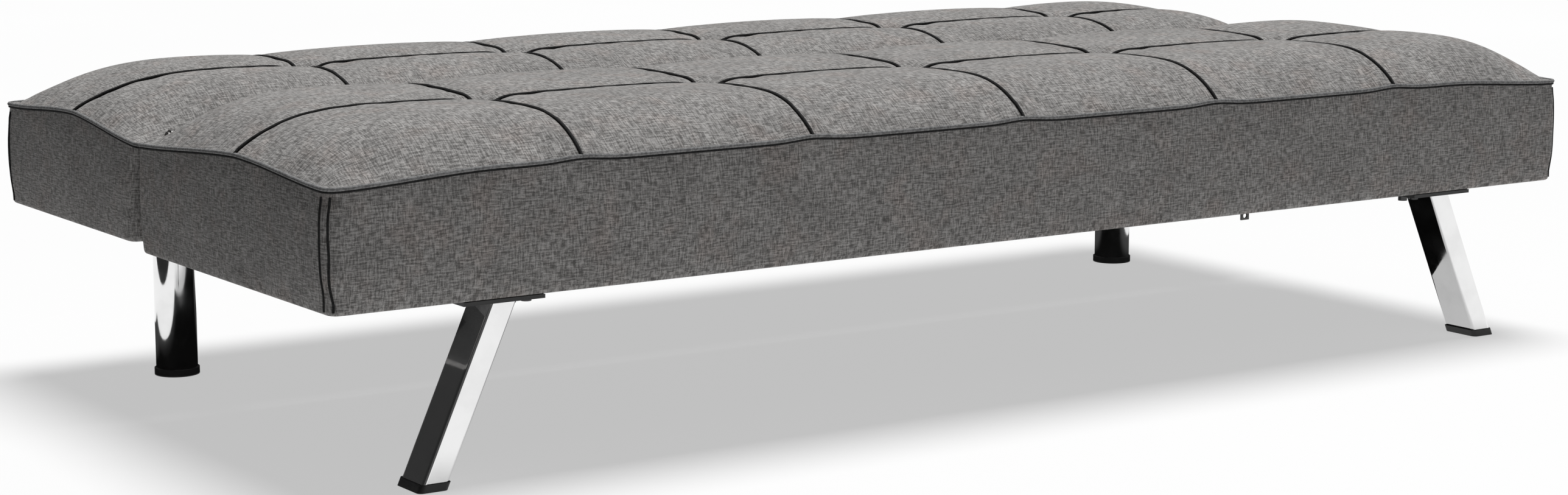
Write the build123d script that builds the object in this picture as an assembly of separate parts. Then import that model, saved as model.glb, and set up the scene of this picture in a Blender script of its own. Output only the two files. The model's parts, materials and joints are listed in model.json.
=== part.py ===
"""Futon sofa bed, lying flat: a seat unit on four legs and a back unit that folds up on two click hinges.

Axes: X runs along the length, Y from the front to the rear, Z up. The origin is on the floor under the
centre of the overall plan. All sizes are in millimetres. The left side is the -X side.
"""

import os
from math import cos, radians, sin

from build123d import *

# ---------------------------------------------------------------- driving sizes: cushions
overall_length = 1680.0        # both cushions, end to end
seat_depth = 464.0             # seat cushion, front face to rear face
back_depth = 380.6             # back cushion at its top edge, front face to rear face
junction_gap = 5.4             # space between the two cushions at their top edges
outer_row_depth = 210.0        # front row of seat panels, and rear row of back panels
column_count = 6               # tufted panels along the length
seat_underside = 186.0         # floor to the seat's underside
back_underside = 193.0         # floor to the back's underside
edge_height = 305.0            # floor to the piped top edge
seam_rise = 29.0               # piped top edge up to the seams between panels
crown_rise = 55.0              # piped top edge up to the crown of a panel
back_wall_lean = 18.0          # how far the back's front face leans rearward at its underside
cover_thickness = 6.0          # fabric with its wadding
piping_radius = 2.5
piping_inset = 1.0             # piping centre line, inward of the cover's face

# ---------------------------------------------------------------- driving sizes: timber frames
side_pad = 18.0                # cushion face to frame along Y
end_pad = 18.0                 # seat cushion end to frame along X
rail_thickness = 22.0
rail_height = 50.0
dust_cover_thickness = 2.0
slat_thickness = 10.0
slat_width = 100.0
middle_rail_from_front = 154.0  # seat's front face to the middle rail's front face
tie_radius = 1.5               # tufting twine

# ---------------------------------------------------------------- driving sizes: legs and base
front_leg_width = 30.0         # along X, in a level section
front_leg_depth = 47.0         # along Y
front_leg_corner = 4.0
front_leg_splay = 84.0         # foot outward of the leg's top
front_foot_from_end = 94.5     # cushion end to the foot's outer face
front_leg_setback = 4.0        # seat's front face to the leg's front face
leg_wall = 1.8
leg_plate_thickness = 4.0
leg_plate_length = 92.0        # along X
leg_plate_depth = 52.0         # along Y
leg_plate_setback = 2.0
rear_leg_radius = 24.0
rear_leg_from_end = 135.0      # cushion end to the leg's centre
rear_leg_from_front = 690.0    # seat's front face to the leg's centre
cap_height = 8.0
cap_lip = 2.0                  # how far a foot cap stands out round its tube
cap_plug_height = 15.0
fit_clearance = 0.3            # plugs in tubes, bolts in holes
base_arm_width = 40.0
base_arm_height = 25.0
base_arm_wall = 2.0
base_arm_front_margin = 14.0   # arm in front of the middle rail
base_arm_rear_margin = 150.0   # arm behind the rear leg's centre
plug_depth = 12.0
plug_lip = 3.0
flange_width = 54.0            # along X
flange_thickness = 4.0
flange_screw_clearance = 7.0   # leg's face to a flange screw's centre, along Y
flange_end_margin = 8.0        # flange screw's centre to the flange's end
bumper_size = 34.0
contact_gap = 0.2              # between pieces that rest on each other across a joint

# ---------------------------------------------------------------- driving sizes: click hinges
pivot_rise = 1.0               # piped top edge up to the pivot
hinge_plate_thickness = 4.0
hinge_plate_gap = 1.0
pivot_pin_radius = 5.0
pivot_clearance = 0.05
pin_head_radius = 8.0
pin_head_thickness = 3.0
washer_thickness = 1.5
boss_radius = 10.0
sector_radius = 30.0
fold_limit = 78.0              # degrees, flat to fully raised
lounge_angle = 38.0            # degrees, half raised
pawl_angle = -100.0            # where the pawl's tooth points at the pivot, from +Y towards +Z
pawl_pin_distance = 44.0       # pivot to the pawl's pin
pawl_pin_angle = -140.0
pawl_pin_radius = 3.0
pawl_boss_radius = 6.0
tooth_width = 6.0
tooth_gap = 1.5                # released tooth to the sector's rim
tooth_length = 12.0            # tooth's tip to the middle of the pawl's arm
arm_end_radius = 4.0
notch_depth = 6.5
notch_width = 10.0
sector_margin = 16.0           # degrees of sector beyond its first and last notch
plate_foot_near = 26.0         # pivot to the near edge of a plate's bolted foot, along Y
plate_foot_length = 86.0
plate_foot_height = 40.0
hinge_bolt_reach = (64.0, 98.0)  # pivot to each bolt, along Y
hinge_bolt_radius = 4.0
bolt_head_radius = 6.5
bolt_head_height = 5.0
screw_radius = 2.5
screw_head_radius = 4.5
screw_head_height = 3.0
slot_clearance = 3.0           # cushion slots round the hinge plates
pawl_room_radius = 56.0        # slot round the pawl and the sector
slot_height_over_pivot = 10.0
slot_depth = 14.0              # slots in the facing walls, for the other unit's plate
spring_length = 30.0           # leaf spring under the pawl's arm
spring_thickness = 1.2

# ---------------------------------------------------------------- driving sizes: small fittings
leg_bolt_offsets = (21.0, 39.0)  # leg's centre to each of its bolts, inboard along X
leg_bolt_from_front = 29.0     # seat's front face to the leg bolts
leg_bolt_radius = 3.0
leg_bolt_head_radius = 5.5
leg_bolt_head_height = 6.0
leg_bolt_length = 34.0
eye_tab_from_end = 1208.0      # left end to the eye tab
eye_tab_from_front = 44.0
eye_tab_width = 12.0
eye_tab_drop = 15.0
eye_tab_thickness = 2.0
eye_hole_radius = 3.0

# ---------------------------------------------------------------- places worked out from the sizes
half_length = overall_length / 2
seam_height = edge_height + seam_rise
crown_height = edge_height + crown_rise
pivot_height = edge_height + pivot_rise
flange_screw_offset = rear_leg_radius + flange_screw_clearance
flange_length = 2 * (flange_screw_offset + flange_end_margin)
overall_depth = seat_depth + junction_gap + back_depth
front_y = -overall_depth / 2
rear_y = overall_depth / 2
seat_rear_y = front_y + seat_depth
back_front_y = seat_rear_y + junction_gap
pivot_y = (seat_rear_y + back_front_y) / 2
seat_seam_y = front_y + outer_row_depth
back_seam_y = rear_y - outer_row_depth
column_width = overall_length / column_count
cross_seams = [-half_length + column_width * number for number in range(1, column_count)]
seat_rail_top = seat_underside + dust_cover_thickness + rail_height
back_rail_top = back_underside + dust_cover_thickness + rail_height
seat_rail_face = half_length - end_pad - rail_thickness      # inner faces of the seat's end rails
back_rail_face = seat_rail_face - hinge_plate_thickness - hinge_plate_gap
seat_plate_face = seat_rail_face - hinge_plate_thickness     # inner face of each seat hinge plate
back_plate_face = back_rail_face - hinge_plate_thickness
slot_outer = seat_rail_face + slot_clearance
slot_inner = back_plate_face - bolt_head_height - slot_clearance
front_leg_foot_x = half_length - front_foot_from_end - front_leg_width / 2
front_leg_y = front_y + front_leg_setback + front_leg_depth / 2
rear_leg_x = half_length - rear_leg_from_end
rear_leg_y = front_y + rear_leg_from_front
front_leg_top = seat_underside - leg_plate_thickness
arm_bottom = seat_underside - base_arm_height
front_leg_top_x = front_leg_foot_x - front_leg_splay * front_leg_top / seat_underside
SIDES = {"left": -1, "right": 1}

os.makedirs("parts", exist_ok=True)


# ---------------------------------------------------------------- helpers
def save(name, *solids):
    """Write one node, made of one or more separate solids."""
    bodies = [body for shape in solids for body in shape.solids()]
    export_step(bodies[0] if len(bodies) == 1 else Compound(bodies), f"parts/{name}.step")


def block(x_span, y_span, z_span):
    """Box between the given spans, each a (low, high) pair in any order."""
    low = [min(span) for span in (x_span, y_span, z_span)]
    size = [abs(span[1] - span[0]) for span in (x_span, y_span, z_span)]
    return Pos(*low) * Box(*size, align=(Align.MIN, Align.MIN, Align.MIN))


def rod_x(x_span, y, z, radius):
    """Round bar along X."""
    length = abs(x_span[1] - x_span[0])
    middle = (x_span[0] + x_span[1]) / 2
    return Pos(middle, y, z) * Rot(0, 90, 0) * Cylinder(radius, length)


def rod_z(x, y, z_span, radius):
    """Round bar along Z."""
    length = abs(z_span[1] - z_span[0])
    return Pos(x, y, (z_span[0] + z_span[1]) / 2) * Cylinder(radius, length)


def plate_x(outline, x_span):
    """Flat plate across X from an outline drawn with Y across and Z up."""
    thickness = abs(x_span[1] - x_span[0])
    return extrude(Plane.YZ.offset(min(x_span)) * outline, thickness)


def polar(distance, angle):
    """Point in the Y-Z plane about the pivot."""
    return (pivot_y + distance * cos(radians(angle)), pivot_height + distance * sin(radians(angle)))


def scalloped_outline(stations, bottom, inset, lean):
    """Outline with flat bottom, side walls and one arc over each gap between neighbouring stations."""
    first, last = stations[0] + inset, stations[-1] - inset
    places = [first, *stations[1:-1], last]
    heights = [edge_height - inset] + [seam_height - inset] * (len(stations) - 2) + [edge_height - inset]
    crests = [
        ThreePointArc(
            (places[i], heights[i]),
            ((places[i] + places[i + 1]) / 2, crown_height - inset),
            (places[i + 1], heights[i + 1]),
        )
        for i in range(len(places) - 1)
    ]
    walls = Polyline((last, heights[-1]), (last, bottom), (first + lean, bottom), (first, heights[0]))
    return make_face(Wire(crests + list(walls.edges())))


def cushion_block(y_stations, bottom, inset, lean=0.0):
    """Cushion with a crowned panel over each cell of the seam grid."""
    x_stations = [-half_length, *cross_seams, half_length]
    across = plate_x(scalloped_outline(y_stations, bottom, inset, lean), (-half_length, half_length))
    along = scalloped_outline(x_stations, bottom, inset, 0.0)
    lengthwise = extrude(Plane.XZ.offset(overall_depth) * along, -2 * overall_depth)
    return across & lengthwise


def piping_ring(y_front, y_rear, radius):
    """Cord round the top edge of a cushion."""
    x = half_length - piping_inset
    front, rear = y_front + piping_inset, y_rear - piping_inset
    corner = 2.5 * piping_radius
    path = Pos(0, (front + rear) / 2, edge_height) * Rectangle(2 * x, rear - front)
    path = fillet(path.vertices(), corner).face().outer_wire()
    start = Plane(origin=path @ 0, z_dir=path % 0)
    return sweep(start * Circle(radius), path=path)


# ---------------------------------------------------------------- hinge outlines, drawn across Y and Z
def foot_outline(side_of_pivot, rail_middle):
    """Bolted foot of a hinge plate: a rectangle beside the rail, ahead of or behind the pivot."""
    middle = pivot_y + side_of_pivot * (plate_foot_near + plate_foot_length / 2)
    return Pos(middle, rail_middle) * Rectangle(plate_foot_length, plate_foot_height)


def disc(centre, radius):
    return Pos(*centre) * Circle(radius)


def notch_outline(angle):
    """Notch in the sector's rim, wider than the pawl's tooth and open outward."""
    length = 2 * notch_depth
    centre = polar(sector_radius - notch_depth + length / 2, angle)
    return Pos(*centre) * Rot(0, 0, angle) * Rectangle(length, notch_width)


def seat_plate_outline():
    """Fixed plate: bolted foot, pivot boss and pawl boss."""
    shapes = foot_outline(-1, seat_rail_top - rail_height / 2)
    shapes += disc((pivot_y, pivot_height), boss_radius)
    shapes += disc(polar(pawl_pin_distance, pawl_pin_angle), pawl_boss_radius + 2)
    return make_hull(shapes.edges())


def back_plate_outline():
    """Swinging plate: bolted foot and pivot boss, with a notched sector on the seat's side."""
    arm = foot_outline(1, back_rail_top - rail_height / 2) + disc((pivot_y, pivot_height), boss_radius)
    arm = make_hull(arm.edges())
    first = pawl_angle - fold_limit - sector_margin
    last = pawl_angle + sector_margin
    steps = 6
    fan = [polar(2 * sector_radius, first + (last - first) * number / steps) for number in range(steps + 1)]
    wedge = make_face(Polyline((pivot_y, pivot_height), *fan, close=True))
    plate = arm + (disc((pivot_y, pivot_height), sector_radius) & wedge)
    for fold in (0.0, lounge_angle, fold_limit):
        plate -= notch_outline(pawl_angle - fold)
    return plate


def pawl_outline():
    """Pawl in its released place: a boss on its pin and an arm that ends in a tooth."""
    pin = polar(pawl_pin_distance, pawl_pin_angle)
    rim = sector_radius + tooth_gap
    arm_end = polar(rim + tooth_length, pawl_angle)
    arm = make_hull((disc(pin, pawl_boss_radius) + disc(arm_end, arm_end_radius)).edges())
    tooth = Pos(*polar(rim + tooth_length / 2, pawl_angle)) * Rot(0, 0, pawl_angle)
    return arm + tooth * Rectangle(tooth_length, tooth_width)


def seat_slot_outline():
    """Space in the seat cushion for the fixed plate, the sector and the pawl."""
    top = pivot_height + slot_height_over_pivot
    reach = 2 * pawl_room_radius
    below_top = Pos(pivot_y, top - reach / 2) * Rectangle(reach, reach)
    room = disc((pivot_y, pivot_height), pawl_room_radius) & below_top
    room += disc((pivot_y, pivot_height), boss_radius + slot_clearance)
    room += offset(seat_plate_outline(), amount=slot_clearance)
    height = top - seat_underside
    return room + Pos(seat_rear_y, seat_underside + height / 2) * Rectangle(2 * slot_depth, height)


def back_slot_outline():
    """Space in the back cushion for the swinging plate, and for the fixed plate beside the pivot."""
    top = pivot_height + slot_height_over_pivot
    room = disc((pivot_y, pivot_height), boss_radius + slot_clearance)
    room += offset(back_plate_outline(), amount=slot_clearance)
    height = top - back_underside
    return room + Pos(back_front_y, back_underside + height / 2) * Rectangle(2 * slot_depth, height)


# ---------------------------------------------------------------- fasteners and the holes they need
class Fastener:
    """Round-headed bolt or screw along +X, -X or +Z, with the hole that it needs."""

    def __init__(self, head_at, direction, radius, length, head_radius, head_height):
        turn = {"z": Rot(0, 0, 0), "+x": Rot(0, 90, 0), "-x": Rot(0, -90, 0)}[direction]
        bottom = (Align.CENTER, Align.CENTER, Align.MIN)
        top = (Align.CENTER, Align.CENTER, Align.MAX)
        place = Pos(*head_at) * turn
        self.solid = place * (Cylinder(radius, length, align=bottom) + Cylinder(head_radius, head_height, align=top))
        self.hole = place * Cylinder(radius + fit_clearance, length + fit_clearance, align=bottom)


def drilled(part, fasteners):
    """The part with the holes of the given fasteners."""
    for fastener in fasteners:
        part -= fastener.hole
    return part


front_rail_y = front_y + side_pad
seat_frame_rear = seat_rear_y - side_pad
middle_rail_y = front_y + middle_rail_from_front
back_frame_front = back_front_y + back_wall_lean + side_pad / 2
back_frame_rear = rear_y - side_pad

seat_rail_middle = seat_rail_top - rail_height / 2
back_rail_middle = back_rail_top - rail_height / 2
seat_hinge_bolts, back_hinge_bolts = [], []
leg_bolts, arm_bolts, flange_screws = [], [], []
for side in SIDES.values():
    toward_end = "-x" if side < 0 else "+x"
    bolt_length = hinge_plate_thickness + rail_thickness - 2
    for reach in hinge_bolt_reach:
        seat_hinge_bolts.append(
            Fastener((side * seat_plate_face, pivot_y - reach, seat_rail_middle), toward_end,
                     hinge_bolt_radius, bolt_length, bolt_head_radius, bolt_head_height))
        back_hinge_bolts.append(
            Fastener((side * back_plate_face, pivot_y + reach, back_rail_middle), toward_end,
                     hinge_bolt_radius, bolt_length, bolt_head_radius, bolt_head_height))
    for reach in leg_bolt_offsets:
        leg_bolts.append(
            Fastener((side * (front_leg_top_x - reach), front_y + leg_bolt_from_front, front_leg_top), "z",
                     leg_bolt_radius, leg_bolt_length, leg_bolt_head_radius, leg_bolt_head_height))
    for rail_y in (middle_rail_y + rail_thickness / 2, seat_frame_rear - rail_thickness / 2):
        arm_bolts.append(
            Fastener((side * rear_leg_x, rail_y, arm_bottom), "z",
                     hinge_bolt_radius, base_arm_height + rail_height, bolt_head_radius, bolt_head_height))
    for reach in (-flange_screw_offset, flange_screw_offset):
        flange_screws.append(
            Fastener((side * rear_leg_x, rear_leg_y + reach, arm_bottom - flange_thickness), "z",
                     screw_radius, flange_thickness + 3 * base_arm_wall, screw_head_radius, screw_head_height))

# ---------------------------------------------------------------- the two upholstered units
def build_cushion(unit, y_stations, underside, lean, slot_outline, frame_span, rail_top):
    """Write the cover, piping, foam, dust cover, slats and tufting ties of one unit."""
    slots = [
        plate_x(slot_outline, (side * slot_outer, side * slot_inner)) for side in SIDES.values()
    ]
    outside = cushion_block(y_stations, underside, 0.0, lean)
    inside = cushion_block(y_stations, underside, cover_thickness, lean)
    slat_top = rail_top + slat_thickness
    frame_x = half_length - end_pad
    frame_space = block((-frame_x, frame_x), frame_span, (underside, slat_top))
    groove = piping_ring(y_stations[0], y_stations[-1], piping_radius)

    ties, tie_holes = [], []
    node_y = y_stations[1]
    for x in cross_seams:
        span = (rail_top - 2 * tie_radius, seam_height - cover_thickness)
        ties.append(rod_z(x, node_y, span, tie_radius))
        tie_holes.append(rod_z(x, node_y, (rail_top - slat_thickness, crown_height), tie_radius))

    foam = inside - frame_space
    cover = outside - inside - groove
    for slot in slots:
        foam -= slot
        cover -= slot
    for hole in tie_holes:
        foam -= hole
    piping = groove
    for slot in slots:
        piping -= slot
    save(f"{unit}_cover", cover)
    save(f"{unit}_piping", piping)
    save(f"{unit}_foam", foam)
    save(f"{unit}_tuft_ties", *ties)

    dust_cover = block((-frame_x, frame_x), frame_span, (underside, underside + dust_cover_thickness))
    for slot in slots:
        dust_cover -= slot
    save(f"{unit}_dust_cover", drilled(dust_cover, leg_bolts + arm_bolts))

    for number, x in enumerate(cross_seams, start=1):
        slat = block((x - slat_width / 2, x + slat_width / 2), frame_span, (rail_top, slat_top))
        for hole in tie_holes:
            slat -= hole
        save(f"{unit}_slat_{number}", slat)


def build_long_rail(name, reach, y_low, underside, fasteners):
    """Write one rail that runs along the length between -reach and +reach."""
    bottom = underside + dust_cover_thickness
    rail = block((-reach, reach), (y_low, y_low + rail_thickness), (bottom, bottom + rail_height))
    save(name, drilled(rail, fasteners))


def build_end_rail(name, side, face, span, underside, fasteners):
    """Write one end rail: its inner face lies at the given distance from the middle."""
    bottom = underside + dust_cover_thickness
    rail = block((side * face, side * (face + rail_thickness)), span, (bottom, bottom + rail_height))
    save(name, drilled(rail, fasteners))


build_cushion("seat", [front_y, seat_seam_y, seat_rear_y], seat_underside, 0.0,
              seat_slot_outline(), (front_rail_y, seat_frame_rear), seat_rail_top)
build_cushion("back", [back_front_y, back_seam_y, rear_y], back_underside, back_wall_lean,
              back_slot_outline(), (back_frame_front, back_frame_rear), back_rail_top)

build_long_rail("seat_front_rail", seat_rail_face, front_rail_y, seat_underside, leg_bolts)
build_long_rail("seat_middle_rail", seat_rail_face, middle_rail_y, seat_underside, arm_bolts)
build_long_rail("seat_rear_rail", seat_plate_face, seat_frame_rear - rail_thickness, seat_underside, arm_bolts)
build_long_rail("back_front_rail", back_plate_face, back_frame_front, back_underside, [])
build_long_rail("back_rear_rail", back_rail_face, back_frame_rear - rail_thickness, back_underside, [])
for side_name, side in SIDES.items():
    build_end_rail(f"seat_{side_name}_end_rail", side, seat_rail_face,
                   (front_rail_y, seat_frame_rear), seat_underside, seat_hinge_bolts)
    build_end_rail(f"back_{side_name}_end_rail", side, back_rail_face,
                   (back_frame_front, back_frame_rear), back_underside, back_hinge_bolts)

# ---------------------------------------------------------------- click hinges
pins, washers, pawl_pins, pawl_springs = [], [], [], []
pawl_pin_place = polar(pawl_pin_distance, pawl_pin_angle)
for side_name, side in SIDES.items():
    seat_plate = plate_x(seat_plate_outline(), (side * seat_rail_face, side * seat_plate_face))
    seat_plate -= rod_x((-half_length, half_length), pivot_y, pivot_height, pivot_pin_radius)
    seat_plate -= rod_x((-half_length, half_length), *pawl_pin_place, pawl_pin_radius)
    save(f"{side_name}_seat_hinge_plate", drilled(seat_plate, seat_hinge_bolts))

    back_plate = plate_x(back_plate_outline(), (side * back_rail_face, side * back_plate_face))
    back_plate -= rod_x((-half_length, half_length), pivot_y, pivot_height, pivot_pin_radius + pivot_clearance)
    save(f"{side_name}_back_hinge_plate", drilled(back_plate, back_hinge_bolts))

    pawl = plate_x(pawl_outline(), (side * back_rail_face, side * back_plate_face))
    pawl -= rod_x((-half_length, half_length), *pawl_pin_place, pawl_pin_radius + pivot_clearance)
    save(f"{side_name}_pawl", pawl)

    pin_end = back_plate_face - contact_gap - washer_thickness
    shank = rod_x((side * seat_rail_face, side * pin_end), pivot_y, pivot_height, pivot_pin_radius)
    head_span = (side * seat_rail_face, side * (seat_rail_face + pin_head_thickness))
    pins.append(shank + rod_x(head_span, pivot_y, pivot_height, pin_head_radius))
    washer_span = (side * (back_plate_face - contact_gap), side * pin_end)
    washer = rod_x(washer_span, pivot_y, pivot_height, pin_head_radius)
    washers.append(washer - rod_x(washer_span, pivot_y, pivot_height, pivot_pin_radius))

    pawl_shank = rod_x((side * seat_rail_face, side * pin_end), *pawl_pin_place, pawl_pin_radius)
    pawl_head_span = (side * pin_end, side * (back_plate_face - contact_gap))
    pawl_pins.append(pawl_shank + rod_x(pawl_head_span, *pawl_pin_place, pawl_boss_radius))

    ledge_y, ledge_z = polar(sector_radius + tooth_gap + tooth_length, pawl_angle)
    ledge_z -= arm_end_radius + contact_gap
    spring_x = (side * seat_plate_face, side * back_plate_face)
    pawl_springs.append(block(spring_x, (ledge_y - spring_length, ledge_y + arm_end_radius),
                              (ledge_z - spring_thickness, ledge_z)))
save("pivot_pins", *pins)
save("pivot_washers", *washers)
save("pawl_pins", *pawl_pins)
save("pawl_springs", *pawl_springs)
save("seat_hinge_bolts", *[bolt.solid for bolt in seat_hinge_bolts])
save("back_hinge_bolts", *[bolt.solid for bolt in back_hinge_bolts])


# ---------------------------------------------------------------- front legs
def leg_prism(side, low, high, grow):
    """Leaning prism of the front leg's level section between two heights, grown or shrunk all round."""
    lean = side * front_leg_splay / seat_underside
    corner = max(front_leg_corner + grow, 1.0)
    section = RectangleRounded(front_leg_width + 2 * grow, front_leg_depth + 2 * grow, corner)
    foot_x = side * front_leg_foot_x
    face = (Pos(foot_x - lean * low, front_leg_y, low) * section).faces()[0]
    return Part() + Solid.extrude(face, Vector(-lean * (high - low), 0, high - low))


leg_plates = []
for side_name, side in SIDES.items():
    tube = leg_prism(side, cap_height, front_leg_top, 0.0) - leg_prism(side, cap_height, front_leg_top, -leg_wall)
    save(f"front_{side_name}_leg", tube)
    cap = leg_prism(side, 0.0, cap_height, cap_lip)
    cap += leg_prism(side, cap_height, cap_height + cap_plug_height, -leg_wall - fit_clearance)
    save(f"front_{side_name}_foot_cap", cap)
    plate_x_middle = side * front_leg_top_x
    plate = block((plate_x_middle - leg_plate_length / 2, plate_x_middle + leg_plate_length / 2),
                  (front_y + leg_plate_setback, front_y + leg_plate_setback + leg_plate_depth),
                  (front_leg_top, seat_underside))
    leg_plates.append(drilled(plate, leg_bolts))
save("front_leg_plates", *leg_plates)
save("front_leg_bolts", *[bolt.solid for bolt in leg_bolts])

# ---------------------------------------------------------------- base arms and rear legs
plugs, flanges, bumpers = [], [], []
arm_front = middle_rail_y - base_arm_front_margin
arm_rear = rear_leg_y + base_arm_rear_margin
for side_name, side in SIDES.items():
    x_span = (side * rear_leg_x - base_arm_width / 2, side * rear_leg_x + base_arm_width / 2)
    inner_x = (x_span[0] + base_arm_wall, x_span[1] - base_arm_wall)
    inner_z = (arm_bottom + base_arm_wall, seat_underside - base_arm_wall)
    arm = block(x_span, (arm_front, arm_rear), (arm_bottom, seat_underside))
    arm -= block(inner_x, (arm_front, arm_rear), inner_z)
    save(f"{side_name}_base_arm", drilled(arm, arm_bolts + flange_screws))
    for end, inward in ((arm_front, 1), (arm_rear, -1)):
        plug = block(x_span, (end, end - inward * plug_lip), (arm_bottom, seat_underside))
        plug += block((inner_x[0] + fit_clearance, inner_x[1] - fit_clearance),
                      (end, end + inward * plug_depth),
                      (inner_z[0] + fit_clearance, inner_z[1] - fit_clearance))
        plugs.append(plug)
    flange = block((side * rear_leg_x - flange_width / 2, side * rear_leg_x + flange_width / 2),
                   (rear_leg_y - flange_length / 2, rear_leg_y + flange_length / 2),
                   (arm_bottom - flange_thickness, arm_bottom))
    flanges.append(drilled(flange, flange_screws))
    leg_span = (cap_height, arm_bottom - flange_thickness)
    leg = rod_z(side * rear_leg_x, rear_leg_y, leg_span, rear_leg_radius)
    leg -= rod_z(side * rear_leg_x, rear_leg_y, leg_span, rear_leg_radius - leg_wall)
    save(f"rear_{side_name}_leg", leg)
    cap = rod_z(side * rear_leg_x, rear_leg_y, (0.0, cap_height), rear_leg_radius + cap_lip)
    cap += rod_z(side * rear_leg_x, rear_leg_y, (cap_height, cap_height + cap_plug_height),
                 rear_leg_radius - leg_wall - fit_clearance)
    save(f"rear_{side_name}_foot_cap", cap)
    bumper_y = back_frame_rear - rail_thickness / 2
    bumper = block((side * rear_leg_x - bumper_size / 2, side * rear_leg_x + bumper_size / 2),
                   (bumper_y - bumper_size / 2, bumper_y + bumper_size / 2),
                   (seat_underside, back_underside - contact_gap))
    bumpers.append(fillet(bumper.edges().group_by(Axis.Z)[-1], 1.5))
save("base_arm_end_plugs", *plugs)
save("base_arm_bolts", *[bolt.solid for bolt in arm_bolts])
save("rear_leg_flanges", *flanges)
save("rear_leg_screws", *[screw.solid for screw in flange_screws])
save("back_rest_bumpers", *bumpers)

# ---------------------------------------------------------------- eye tab under the seat's front edge
tab_x = -half_length + eye_tab_from_end
tab_y = front_y + eye_tab_from_front
tab = block((tab_x - eye_tab_width / 2, tab_x + eye_tab_width / 2),
            (tab_y, tab_y + eye_tab_thickness), (seat_underside - eye_tab_drop, seat_underside))
tab += block((tab_x - eye_tab_width / 2, tab_x + eye_tab_width / 2),
             (tab_y, tab_y + eye_tab_width), (seat_underside - eye_tab_thickness, seat_underside))
hole_z = seat_underside - eye_tab_drop + eye_hole_radius + eye_tab_thickness
tab -= Pos(tab_x, tab_y + eye_tab_thickness / 2, hole_z) * Rot(90, 0, 0) * Cylinder(eye_hole_radius, 10)
save("underside_eye_tab", tab)
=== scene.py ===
"""Looks of a folding sofa bed: two tufted cushions in grey linen on chrome legs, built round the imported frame.

The seat unit stands on the legs and the back unit folds up about the hinges between the two cushions.
Lengths are in metres and share the frame's axes: X along the length, Y from front to rear, Z up.
"""

from __future__ import annotations

import json
import logging
import math
from dataclasses import dataclass
from enum import Enum

import bmesh
import bpy
import numpy as np
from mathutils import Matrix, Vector
from mathutils.bvhtree import BVHTree

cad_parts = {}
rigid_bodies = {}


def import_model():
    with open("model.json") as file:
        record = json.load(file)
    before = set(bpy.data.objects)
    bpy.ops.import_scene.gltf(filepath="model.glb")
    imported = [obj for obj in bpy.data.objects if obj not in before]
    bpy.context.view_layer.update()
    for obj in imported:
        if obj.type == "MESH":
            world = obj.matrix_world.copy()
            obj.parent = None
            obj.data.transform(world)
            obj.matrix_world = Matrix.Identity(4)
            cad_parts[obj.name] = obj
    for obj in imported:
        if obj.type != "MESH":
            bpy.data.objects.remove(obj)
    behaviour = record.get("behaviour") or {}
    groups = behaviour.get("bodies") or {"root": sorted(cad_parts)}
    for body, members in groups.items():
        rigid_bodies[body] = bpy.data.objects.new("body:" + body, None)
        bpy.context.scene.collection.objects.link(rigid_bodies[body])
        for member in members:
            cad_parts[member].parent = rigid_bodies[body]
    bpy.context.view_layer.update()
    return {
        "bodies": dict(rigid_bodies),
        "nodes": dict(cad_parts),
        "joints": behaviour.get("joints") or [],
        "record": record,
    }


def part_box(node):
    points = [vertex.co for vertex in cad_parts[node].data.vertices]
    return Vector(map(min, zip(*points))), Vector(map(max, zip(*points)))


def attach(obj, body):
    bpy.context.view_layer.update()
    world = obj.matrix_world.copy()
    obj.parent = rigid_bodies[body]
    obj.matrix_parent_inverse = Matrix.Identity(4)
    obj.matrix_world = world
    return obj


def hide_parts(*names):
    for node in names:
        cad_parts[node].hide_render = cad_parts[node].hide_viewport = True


LOG = logging.getLogger("sofa_bed")
WEAVE_UV = "weave"


# ------------------------------------------------------------------ shader arithmetic
class Signal:
    """A shader socket that can be used in arithmetic; each operation adds its node."""

    def __init__(self, graph: Graph, socket: bpy.types.NodeSocket) -> None:
        """Wrap an output socket.

        Args:
            graph: The node graph that the socket belongs to.
            socket: The output socket.
        """
        self.graph = graph
        self.socket = socket

    def math(self, operation: str, *others: Signal | float, clamp: bool = False) -> Signal:
        """Add a Math node with this signal as its first input.

        Args:
            operation: The Math node's operation.
            others: The remaining inputs.
            clamp: Whether the result is held between 0 and 1.

        Returns:
            The node's result.
        """
        settings = {"operation": operation, "use_clamp": clamp}
        values = dict(enumerate((self, *others)))
        return self.graph.node("ShaderNodeMath", settings, values).out()

    def __add__(self, other: Signal | float) -> Signal:
        """Sum."""
        return self.math("ADD", other)

    __radd__ = __add__

    def __mul__(self, other: Signal | float) -> Signal:
        """Product."""
        return self.math("MULTIPLY", other)

    __rmul__ = __mul__

    def __sub__(self, other: Signal | float) -> Signal:
        """Difference."""
        return self.math("SUBTRACT", other)

    def __rsub__(self, other: float) -> Signal:
        """Difference from a plain number."""
        return (self * -1.0) + other

    def ramp(self, low: float, high: float) -> Signal:
        """A smooth step from 0 at low to 1 at high."""
        settings = {"interpolation_type": "SMOOTHSTEP"}
        values = {"Value": self, "From Min": low, "From Max": high}
        return self.graph.node("ShaderNodeMapRange", settings, values).out()


class Node:
    """A node just added to a graph, with easy access to its outputs."""

    def __init__(self, graph: Graph, node: bpy.types.Node) -> None:
        """Wrap a node.

        Args:
            graph: The node graph that the node belongs to.
            node: The node.
        """
        self.graph = graph
        self.node = node

    def out(self, name: str | int = 0) -> Signal:
        """One output as a signal.

        Args:
            name: The output's name or number.

        Returns:
            The output.
        """
        return Signal(self.graph, self.node.outputs[name])


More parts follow.
